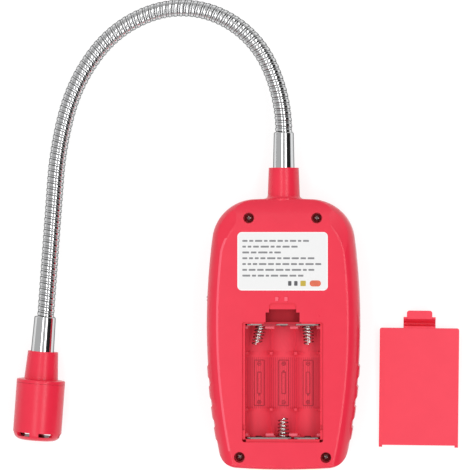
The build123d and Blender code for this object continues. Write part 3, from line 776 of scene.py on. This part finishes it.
marks = {
    "ridge": 0.42 * mm,
    "height": 0.2 * mm,
    "sink": 0.05 * mm,
    # painted shade: the bay marks are a darker red than the case, for the shade along raised marks
    "shadeColor": (0.4, 0.01, 0.03),
    # painted highlight: the bay tabs are a paler red than the case, as where light catches them
    "tabHighlightColor": (1.0, 0.14, 0.2),
    # painted highlight: the latch marks are a paler red than the back, as where light catches them
    "latchHighlightColor": (1.0, 0.11, 0.17),
    # painted shade: the ribs over the contact plates are a dark red, as the gaps there lie in shade
    "capShadeColor": (0.5, 0.012, 0.035),
    "rough": 0.5,
    "cornerSteps": 6,
    "leastCorner": 0.02 * mm,
    "frame": (2.45 * mm, 10.35 * mm),
    "frameMiddle": -22.15 * mm,
    "cell": (1.05 * mm, 5.0 * mm),
    "corner": 0.3 * mm,
    "knob": (0.42 * mm, 0.35 * mm),
    "knobCorner": 0.1 * mm,
    "signPlace": 8.6 * mm,
    "signRadius": 1.0 * mm,
    "signShare": 0.8,  # the ring's width, as a share of the ridge's
    "signBar": 0.55 * mm,
    "barCorner": 0.05 * mm,
    "plusRise": 1.02,
    "edge": 0.12 * mm,
    "blockCorner": 0.25 * mm,
    "blockStep": 2 * mm,
    "tabFoot": 12 * mm,
    "tabHeight": 22.6 * mm,
    "tabDepth": 1.1 * mm,
    "topTabs": 2.8 * mm,
    "topTabSpans": ((-17.4, -15.6), (-8.0, -3.9), (3.1, 6.7), (15.0, 17.4)),
    "bottomTabs": -44.95 * mm,
    "bottomTabSpans": ((-17.4, -15.6), (-7.8, -4.1), (2.6, 6.4), (15.0, 17.4)),
    "capFoot": 20 * mm,
    "capHeight": 25.3 * mm,
    "capPlace": 4.0 * mm,
    "capSpans": ((-9.4, -2.9), (2.2, 5.8)),
    "latchMarks": ((-2.6 * mm, 15.6 * mm), (1.5 * mm, 15.6 * mm)),
    "latchMark": (0.75 * mm, 0.95 * mm),
}


def surfaceOf(*names):
    # a function that gives the top of these nodes at a place
    trees = []
    for name in names:
        mesh = nodes[name].data
        trees.append(BVHTree.FromPolygons([v.co for v in mesh.vertices], [p.vertices for p in mesh.polygons]))
    above = 100 * mm

    def heightAt(x, y):
        hits = [tree.ray_cast(Vector((x, y, above)), Vector((0, 0, -1)))[0] for tree in trees]
        return max(hit.z for hit in hits if hit is not None)

    return heightAt


def roundedLoop(centre, half, corner, step=0.4 * mm):
    # points round a rectangle with round corners, close enough to follow a curved floor
    corner = min(corner, *half)
    steps = marks["cornerSteps"]
    points = []
    for turn in range(4):
        way = Vector((cos(turn * pi / 2), sin(turn * pi / 2)))
        side = Vector((-way.y, way.x))
        reach = Vector((half[0] - corner, half[1] - corner))
        middle = Vector((centre[0], centre[1]))
        middle += Vector((reach.x * (way.x - way.y), reach.y * (way.x + way.y)))
        for part in range(steps + 1):
            angle = pi / 2 * part / steps
            points.append(middle + way * (corner * cos(angle)) + side * (corner * sin(angle)))
    full = []
    for here, after in zip(points, points[1:] + points[:1]):
        count = max(1, int((after - here).length / step))
        full += [here.lerp(after, i / count) for i in range(count)]
    return full


def addRidge(bm, heightAt, centre, half, corner, width, height, hole=True):
    # a raised line round an outline, or a raised field where hole is False
    corner = max(corner - width, marks["leastCorner"])
    inner = roundedLoop(centre, (half[0] - width, half[1] - width), corner)
    sink = -marks["sink"]
    shape = ((1.0, sink), (0.75, height), (0.25, height), (0.0, sink))  # how far out, and how high
    rings = [heightRing(bm, heightAt, growLoop(inner, width * share), rise)
             for share, rise in (shape if hole else shape[:2])]
    if hole:
        joinRings(bm, rings + rings[:1])
    else:
        joinRings(bm, rings)
        bm.faces.new(rings[-1])
        bm.faces.new(rings[0][::-1])


def joinRings(bm, rings):
    for low, high in zip(rings, rings[1:]):
        for i in range(len(low)):
            after = (i + 1) % len(low)
            bm.faces.new((low[i], low[after], high[after], high[i]))


def growLoop(loop, width):
    # the loop moved outwards by the width
    count = len(loop)
    grown = []
    for i, point in enumerate(loop):
        along = (loop[(i + 1) % count] - loop[i - 1]).normalized()
        grown.append(point + Vector((along.y, -along.x)) * width)
    return grown


def heightRing(bm, heightAt, loop, height):
    return [bm.verts.new((point.x, point.y, heightAt(point.x, point.y) + height)) for point in loop]


def finishMarks(name, bm, materials):
    piece = meshObject(name, bm)
    for material in materials:
        piece.data.materials.append(material)
    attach(piece, "case")


def finishRed(name, bm, shaderName, color):
    shade = plainShader(shaderName, {"color": color, "rough": marks["rough"]})
    finishMarks(name, bm, [shade])


def meshObject(name, bm):
    mesh = bpy.data.meshes.new(name)
    bmesh.ops.recalc_face_normals(bm, faces=bm.faces)
    bm.to_mesh(mesh)
    bm.free()
    return newObject(name, mesh)


def makeBayMarks():
    # in each trough a frame with a cell's outline, its knob, and a plus and a minus in rings
    floor = surfaceOf("front_shell", "back_shell")
    bm = bmesh.new()
    width, height = marks["ridge"], marks["height"]
    radius, bar = marks["signRadius"], marks["signBar"]
    openings = [o["box_m"] for o in frame["record"]["physics"]["openings"] if o["name"].endswith("_cell")]
    for index, (low, high) in enumerate(openings):
        x, y = (low[0] + high[0]) / 2, marks["frameMiddle"]
        plusWay = 1 if index == 1 else -1
        addRidge(bm, floor, (x, y), marks["frame"], marks["corner"], width, height)
        addRidge(bm, floor, (x, y), marks["cell"], marks["corner"], width, height)
        knob = (x, y + plusWay * (marks["cell"][1] + marks["knob"][1]))
        addRidge(bm, floor, knob, marks["knob"], marks["knobCorner"], width / 2, height, hole=False)
        for way in (-1, 1):
            spot = (x, y + way * marks["signPlace"])
            addRidge(bm, floor, spot, (radius, radius), radius, width * marks["signShare"], height)
            addRidge(bm, floor, spot, (bar, width / 2), marks["barCorner"], width / 3, height, hole=False)
            if way == plusWay:
                top = height * marks["plusRise"]
                addRidge(bm, floor, spot, (width / 2, bar), marks["barCorner"], width / 3, top, hole=False)
    finishRed("bay_marks", bm, "markShade", marks["shadeColor"])


def addBlock(bm, centre, half, bottom, top):
    # a small block with round corners and a softened top edge
    edge = marks["edge"]
    outline = roundedLoop(centre, half, marks["blockCorner"], marks["blockStep"])
    # how high, and how far in as a share of the edge
    shape = ((bottom, 0.0), (top - edge, 0.0), (top - edge * 0.3, 0.5), (top, 1.0))
    rings = [[bm.verts.new((point.x, point.y, z)) for point in growLoop(outline, -edge * share)]
             for z, share in shape]
    joinRings(bm, rings)
    bm.faces.new(rings[-1])
    bm.faces.new(rings[0][::-1])


def makeBayTabs():
    # the small red tabs that hold the contact plates, and the ribs over the plates
    half = marks["tabDepth"] / 2

    def addRow(bm, y, spans, foot, top):
        for low, high in spans:
            addBlock(bm, ((low + high) / 2 * mm, y), ((high - low) / 2 * mm, half), foot, top)

    bm = bmesh.new()
    addRow(bm, marks["topTabs"], marks["topTabSpans"], marks["tabFoot"], marks["tabHeight"])
    addRow(bm, marks["bottomTabs"], marks["bottomTabSpans"], marks["tabFoot"], marks["tabHeight"])
    finishRed("bay_tabs", bm, "tabPaintedHighlight", marks["tabHighlightColor"])
    bm = bmesh.new()
    addRow(bm, marks["capPlace"], marks["capSpans"], marks["capFoot"], marks["capHeight"])
    finishRed("bay_caps", bm, "capShade", marks["capShadeColor"])


def makeLatchMarks():
    back = surfaceOf("back_shell")
    bm = bmesh.new()
    for place in marks["latchMarks"]:
        top = back(*place)
        addBlock(bm, place, marks["latchMark"], top - marks["height"], top + marks["height"])
    finishRed("latch_marks", bm, "latchPaintedHighlight", marks["latchHighlightColor"])


labelPrint = {
    "margin": 2.2 * mm,
    "firstRow": 3.9 * mm,
    "rowPitch": 2.57 * mm,
    "rowLengths": (30.3 * mm, 24.5 * mm, 17.1 * mm, 32.1 * mm, 35.0 * mm, 31.9 * mm, 27.1 * mm),
    "dash": (1.4 * mm, 4.2 * mm),
    "gap": 0.75 * mm,
    "tall": 0.42 * mm,
    "roundShare": 0.6,
    "step": 5 * mm,
    "raise": 0.02 * mm,
    "seed": 7,
    "inks": {
        "ink": (0.24, 0.24, 0.25),
        "darkField": (0.09, 0.09, 0.1),
        "yellowField": (0.55, 0.4, 0.04),
        "orangeField": (0.72, 0.14, 0.07),
    },
    "rough": 0.5,
    "grain": 0.1 * mm,
    "depth": 0.002 * mm,
    "fieldRow": 22.5 * mm,
    "fields": (  # place across, half size, corner and number of the ink
        (3.2 * mm, (0.75 * mm, 1.05 * mm), 0.3 * mm, 1),
        (5.9 * mm, (0.75 * mm, 1.05 * mm), 0.3 * mm, 1),
        (9.1 * mm, (1.2 * mm, 1.2 * mm), 0.3 * mm, 2),
        (14.5 * mm, (2.5 * mm, 1.35 * mm), 1.3 * mm, 3),
    ),
}


def makeLabelPrint():
    low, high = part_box("label")
    randomly = random.Random(labelPrint["seed"])
    bm = bmesh.new()
    rise = labelPrint["raise"]

    def field(centre, half, corner, index):
        outline = roundedLoop(centre, half, corner, labelPrint["step"])
        flat = [bm.verts.new((point.x, point.y, high.z + rise)) for point in outline]
        foot = [bm.verts.new((vert.co.x, vert.co.y, high.z - rise)) for vert in flat]
        before = len(bm.faces)
        joinRings(bm, [foot, flat])
        bm.faces.new(flat)
        bm.faces.new(foot[::-1])
        bm.faces.ensure_lookup_table()
        for face in bm.faces[before:]:
            face.material_index = index

    tall = labelPrint["tall"]
    for row, length in enumerate(labelPrint["rowLengths"]):
        y = high.y - labelPrint["firstRow"] - row * labelPrint["rowPitch"]
        x = low.x + labelPrint["margin"]
        end = x + length
        while x < end - labelPrint["dash"][0]:
            word = min(randomly.uniform(*labelPrint["dash"]), end - x)
            field((x + word / 2, y), (word / 2, tall), tall * labelPrint["roundShare"], 0)
            x += word + labelPrint["gap"]
    for across, half, corner, index in labelPrint["fields"]:
        field((across, labelPrint["fieldRow"]), half, corner, index)
    inks = [plainShader(key, {"color": color, "rough": labelPrint["rough"]},
                        labelPrint["grain"], labelPrint["depth"])
            for key, color in labelPrint["inks"].items()]
    finishMarks("label_print", bm, inks)


screws = {
    "radius": 1.8 * mm,
    "crown": 0.5 * mm,
    "tall": 1.6 * mm,
    "rings": 6,
    "around": 48,
    "slot": 0.62 * mm,
    "reach": 1.2 * mm,
    "deep": 0.9 * mm,
    "over": 0.2 * mm,
    "taper": 0.55,
    "sharp": radians(35),
    "seed": 3,
}


def screwHead():
    # a pan head with a cross recess, its top at height 0
    size = screws
    around = size["around"]
    shares = [step / size["rings"] for step in range(1, size["rings"] + 1)]
    profile = [(size["radius"] * share, -size["crown"] * share ** 2) for share in shares]
    profile.append((size["radius"], -size["tall"]))
    bm = bmesh.new()
    rings = []
    for radius, z in profile:
        turns = [2 * pi * i / around for i in range(around)]
        rings.append([bm.verts.new((radius * cos(turn), radius * sin(turn), z)) for turn in turns])
    bm.faces.new(rings[0])
    bm.faces.new(rings[-1][::-1])
    for low, high in zip(rings, rings[1:]):
        for i in range(around):
            after = (i + 1) % around
            bm.faces.new((low[i], high[i], high[after], low[after]))
    head = meshObject("screwHead", bm)
    cross = bmesh.new()
    for long, short in ((size["reach"], size["slot"] / 2), (size["slot"] / 2, size["reach"])):
        top = [(long, short), (-long, short), (-long, -short), (long, -short)]
        high = [cross.verts.new((x, y, size["over"])) for x, y in top]
        low = [cross.verts.new((x * size["taper"], y * size["taper"], -size["deep"])) for x, y in top]
        cross.faces.new(high)
        cross.faces.new(low[::-1])
        for i in range(4):
            after = (i + 1) % 4
            cross.faces.new((high[i], low[i], low[after], high[after]))
    tool = meshObject("crossTool", cross)
    cut = head.modifiers.new("cross", "BOOLEAN")
    cut.operation = "DIFFERENCE"
    cut.object = tool
    cut.use_self = True
    mesh = bpy.data.meshes.new_from_object(head.evaluated_get(bpy.context.evaluated_depsgraph_get()))
    mesh.shade_smooth()
    mesh.set_sharp_from_angle(angle=size["sharp"])
    for piece in (head, tool):
        bpy.data.objects.remove(piece)
    return mesh


def screwTree(model):
    # one screw at each point, each turned its own way
    tree = newTree("screws", {"Seed": screws["seed"]})
    source = put(tree, "NodeGroupInput").outputs
    shape = put(tree, "GeometryNodeObjectInfo", {"Object": model})
    turn = put(tree, "FunctionNodeRandomValue", {0: (0, 0, 0), 1: (0, 0, pi), "Seed": source["Seed"]},
               data_type="FLOAT_VECTOR")
    spread = put(tree, "GeometryNodeInstanceOnPoints", {
        "Points": source["Geometry"], "Instance": shape.outputs["Geometry"], "Rotation": turn.outputs[0]})
    closeTree(tree, spread.outputs[0], shaders["screw_steel"])
    return tree


def makeScrews():
    wells = {}
    for vertex in nodes["case_screws"].data.vertices:
        wells.setdefault((vertex.co.x > 0, vertex.co.y > 0), []).append(vertex.co)
    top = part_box("case_screws")[1].z
    spots = []
    for group in wells.values():
        xs, ys = [point.x for point in group], [point.y for point in group]
        spots.append(((min(xs) + max(xs)) / 2, (min(ys) + max(ys)) / 2, top))
    mesh = bpy.data.meshes.new("screwSpots")
    mesh.from_pydata(spots, [], [])
    base = newObject("screwSpots", mesh)
    model = newObject("screwModel", screwHead())
    piece = grow("screw_heads", base, screwTree(model), {"Seed": screws["seed"]})
    for helper in (base, model):
        bpy.data.objects.remove(helper)
    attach(piece, "case")
    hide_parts("case_screws")


springs = {
    "wire": 0.27 * mm,
    "wireSides": 8,
    "turns": 5.5,
    "endTurn": 0.25,  # more or less than that many turns puts the wire's end underneath
    "perTurn": 30,
    "baseRadius": 2.45 * mm,
    "tipRadius": 2.0 * mm,
    "shift": {"contact_spring_left": 1.0 * mm},
    "lean": {
        "contact_spring_left": -2.0 * mm,
        "contact_spring_middle": 0.0,
        "contact_spring_right": 0.5 * mm,
    },
}


def springTree(length):
    # a coil made upright and then laid along the part's Y
    tree = newTree("spring", {
        "Length": length, "Base X": 0.0, "Base Y": 0.0, "Base Z": 0.0, "Way": 1.0, "Lean": 0.0,
        "Wire": springs["wire"], "Sides": springs["wireSides"], "Turns": springs["turns"],
        "Per Turn": springs["perTurn"], "Base Radius": springs["baseRadius"],
        "Tip Radius": springs["tipRadius"],
    })
    source = put(tree, "NodeGroupInput").outputs
    coil = put(tree, "GeometryNodeCurveSpiral", {
        "Resolution": source["Per Turn"], "Rotations": source["Turns"], "Start Radius": source["Base Radius"],
        "End Radius": source["Tip Radius"], "Height": source["Length"]})
    here = put(tree, "ShaderNodeSeparateXYZ", {0: put(tree, "GeometryNodeInputPosition").outputs[0]}).outputs
    lean = calc(tree, "MULTIPLY", calc(tree, "DIVIDE", here["Z"], source["Length"]), source["Lean"])
    x = calc(tree, "ADD", calc(tree, "ADD", here["X"], source["Base X"]), lean)
    y = calc(tree, "ADD", source["Base Y"], calc(tree, "MULTIPLY", here["Z"], source["Way"]))
    z = calc(tree, "SUBTRACT", source["Base Z"], calc(tree, "MULTIPLY", here["Y"], source["Way"]))
    place = put(tree, "ShaderNodeCombineXYZ", {0: x, 1: y, 2: z})
    laid = put(tree, "GeometryNodeSetPosition", {"Geometry": coil.outputs[0], "Position": place.outputs[0]})
    ring = put(tree, "GeometryNodeCurvePrimitiveCircle", {
        "Resolution": source["Sides"], "Radius": source["Wire"]})
    wound = put(tree, "GeometryNodeCurveToMesh", {
        "Curve": laid.outputs[0], "Profile Curve": ring.outputs[0], "Fill Caps": True})
    smooth = put(tree, "GeometryNodeSetShadeSmooth", {0: wound.outputs[0], "Shade Smooth": True})
    closeTree(tree, smooth.outputs[0], shaders["contact_nickel"])
    return tree


def makeSprings():
    bayMiddle = (hollows["bay"]["low"][1] + hollows["bay"]["high"][1]) / 2
    wireRadius = springs["wire"]
    for node, lean in springs["lean"].items():
        low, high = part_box(node)
        above = (low.y + high.y) / 2 > bayMiddle
        length = high.y - low.y - 2 * wireRadius
        holder = newObject("springHolder", bpy.data.meshes.new("springHolder"))
        piece = grow(node.replace("contact_", "") + "_coil", holder, springTree(length), {
            "Length": length,
            "Base X": (low.x + high.x) / 2 + springs["shift"].get(node, 0.0),
            "Base Y": high.y - wireRadius if above else low.y + wireRadius,
            "Base Z": (low.z + high.z) / 2,
            "Way": -1.0 if above else 1.0,
            "Lean": lean,
            "Turns": springs["turns"] + (springs["endTurn"] if above else -springs["endTurn"]),
        })
        bpy.data.objects.remove(holder)
        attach(piece, "case")
        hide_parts(node)
        print(piece.name, len(piece.data.polygons), "faces")


makeBayMarks()
makeBayTabs()
makeSprings()
makeLatchMarks()
makeLabelPrint()
makeScrews()
print("marks, print and screws made")


# Stage, light and camera

studio = {
    "aim": (-21.85 * mm, 43.95 * mm, 14 * mm),
    "distance": 1.5,
    "lean": radians(3),
    "lens": 256.6,
    "sensor": 36,
    "farthest": 20,
    "world": 0.56,
    "panel": 2.9,
    "watts": 4,  # for each square metre of a panel of brightness 1
    "panelSpans": {"panelLeft": (-20, -11), "panelRight": (17, 29)},
    "panelReach": (-62, 50),
    "panelHeight": 0.9,
    "cardSpan": (37, 80),
    "cardDistance": 1.1,
    "cardWidth": 1.6,
    "cardColor": (0.03, 0.03, 0.03),
    "cardRough": 0.9,
    "floorSize": 3.0,
    "floorGlow": 0.79,
    "floorColor": (0.78, 0.78, 0.78),
    "floorSeen": (0.3, 0.3, 0.3),
}


def makeWorld():
    world = bpy.data.worlds.new("studio")
    scene.world = world
    world.use_nodes = True
    back = world.node_tree.nodes["Background"]
    level = studio["world"]
    back.inputs["Color"].default_value = (level, level, level, 1)


def flatSheet(name, corners):
    mesh = bpy.data.meshes.new(name)
    mesh.from_pydata(corners, [], [(0, 1, 2, 3)])
    sheet = newObject(name, mesh)
    return sheet


def whiteTable():
    material = bpy.data.materials.new("whiteTable")
    material.use_nodes = True
    material.node_tree.nodes.clear()
    rays = addNode(material, "ShaderNodeLightPath")
    seen = addNode(material, "ShaderNodeMath", operation="MAXIMUM")
    wire(material, rays.outputs["Is Camera Ray"], seen.inputs[0])
    wire(material, rays.outputs["Is Glossy Ray"], seen.inputs[1])
    through = addNode(material, "ShaderNodeMath", operation="MAXIMUM")
    wire(material, seen.outputs[0], through.inputs[0])
    wire(material, rays.outputs["Is Transmission Ray"], through.inputs[1])
    matte = addNode(material, "ShaderNodeBsdfDiffuse", Color=(*studio["floorColor"], 1))
    faint = addNode(material, "ShaderNodeBsdfDiffuse", Color=(*studio["floorSeen"], 1))
    glow = addNode(material, "ShaderNodeEmission", Strength=studio["floorGlow"])
    both = addNode(material, "ShaderNodeAddShader")
    wire(material, faint.outputs[0], both.inputs[0])
    wire(material, glow.outputs[0], both.inputs[1])
    pick = addNode(material, "ShaderNodeMixShader")
    wire(material, through.outputs[0], pick.inputs[0])
    wire(material, matte.outputs[0], pick.inputs[1])
    wire(material, both.outputs[0], pick.inputs[2])
    out = addNode(material, "ShaderNodeOutputMaterial")
    wire(material, pick.outputs[0], out.inputs["Surface"])
    return material


def makeFloor():
    size = studio["floorSize"]
    floor = flatSheet("floor", [(-size, -size, 0), (size, -size, 0), (size, size, 0), (-size, size, 0)])
    floor.data.materials.append(whiteTable())


def makeCard():
    # a black board at the right, which gives the chrome its dark band
    low, high = (radians(angle) for angle in studio["cardSpan"])
    away = studio["cardDistance"]
    side = studio["cardWidth"] / 2
    middle = studio["aim"][1]
    ends = [(away * sin(angle), away * cos(angle)) for angle in (low, high)]
    corners = [(ends[0][0], middle - side, ends[0][1]), (ends[0][0], middle + side, ends[0][1]),
               (ends[1][0], middle + side, ends[1][1]), (ends[1][0], middle - side, ends[1][1])]
    card = flatSheet("blackCard", corners)
    material = bpy.data.materials.new("blackCard")
    material.use_nodes = True
    surface = material.node_tree.nodes["Principled BSDF"]
    surface.inputs["Base Color"].default_value = (*studio["cardColor"], 1)
    surface.inputs["Specular IOR Level"].default_value = 0.0
    surface.inputs["Roughness"].default_value = studio["cardRough"]
    card.data.materials.append(material)
    card.visible_camera = False


def makePanel(name, low, high):
    height = studio["panelHeight"]
    near = height * tan(radians(low))
    far = height * tan(radians(high))
    bottom = height * tan(radians(studio["panelReach"][0]))
    top = height * tan(radians(studio["panelReach"][1]))
    lamp = bpy.data.lights.new(name, "AREA")
    lamp.shape = "RECTANGLE"
    lamp.size = far - near
    lamp.size_y = top - bottom
    lamp.energy = studio["watts"] * lamp.size * lamp.size_y * studio["panel"]
    lit = newObject(name, lamp)
    lit.location = ((near + far) / 2, studio["aim"][1] + (bottom + top) / 2, height)
    lit.visible_camera = False


def makeCamera():
    view = bpy.data.cameras.new("camera")
    view.lens = studio["lens"]
    view.sensor_width = studio["sensor"]
    camera = newObject("camera", view)
    aim = Vector(studio["aim"])
    back = Vector((sin(studio["lean"]), 0, cos(studio["lean"])))
    up = Vector((0, 1, 0))
    right = up.cross(back).normalized()
    turn = Matrix((right, back.cross(right), back)).transposed()
    camera.matrix_world = Matrix.Translation(aim + back * studio["distance"]) @ turn.to_4x4()
    view.clip_end = studio["farthest"]
    scene.camera = camera


makeWorld()
makeFloor()
makeCard()
for panelName, span in studio["panelSpans"].items():
    makePanel(panelName, *span)
makeCamera()
scene.view_settings.view_transform = "Standard"
print("studio set")
